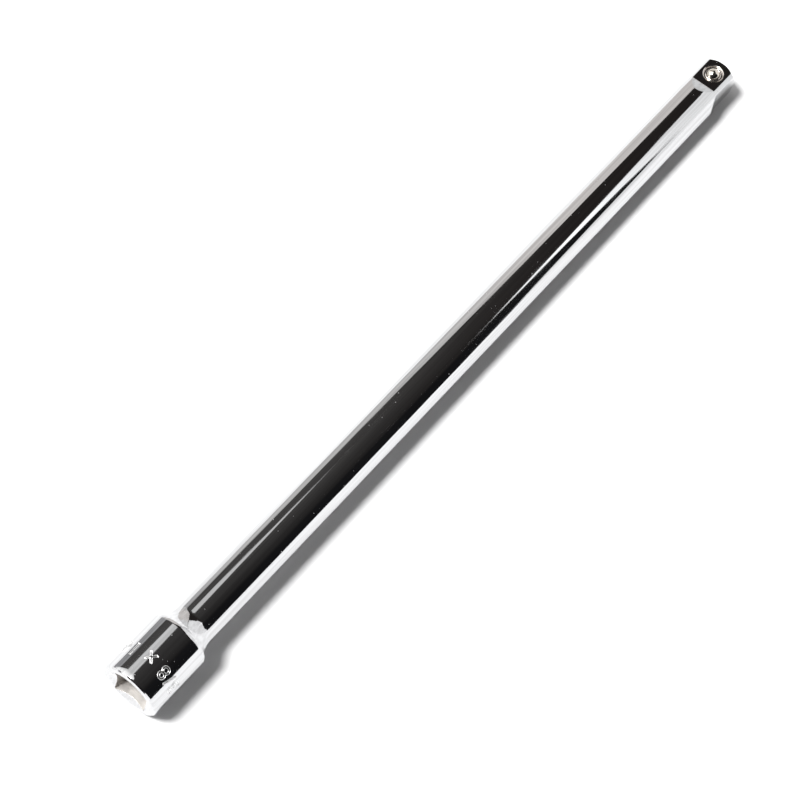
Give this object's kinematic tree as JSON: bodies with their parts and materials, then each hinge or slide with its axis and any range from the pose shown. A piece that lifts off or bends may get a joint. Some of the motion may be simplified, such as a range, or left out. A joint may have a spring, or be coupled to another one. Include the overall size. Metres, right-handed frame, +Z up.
{
  "type": "socket extension bar",
  "caption": "Polished socket extension bar: square socket in a thick barrel at one end, square drive with a sprung detent ball at the other.",
  "frame": {"origin": "on the bar's axis at half its length, which is the middle of its bounding box", "axes": "+X along the bar from the socket's mouth to the drive end, +Z up out of the flat that holds the detent ball, +Y across"},
  "size_m": [0.254, 0.0174, 0.0174],
  "materials": {
    "bar_chrome": "mirror-polished chrome plate with fine handling scratches",
    "ball_steel": "polished bearing steel, slightly warm from oil",
    "spring_steel": "drawn spring wire, lightly oiled"
  },
  "bodies": {
    "bar": {"bar_body": "bar_chrome", "detent_spring": "spring_steel"},
    "ball": {"detent_ball": "ball_steel"}
  },
  "joints": [
    {"name": "ball_press", "type": "slide", "parent": "bar", "child": "ball", "axis": [0, 0, -1], "range_m": [0, 0.0013], "stiffness_N_per_m": 1500, "springref_m": -0.002, "deforming": ["detent_spring"]}
  ]
}
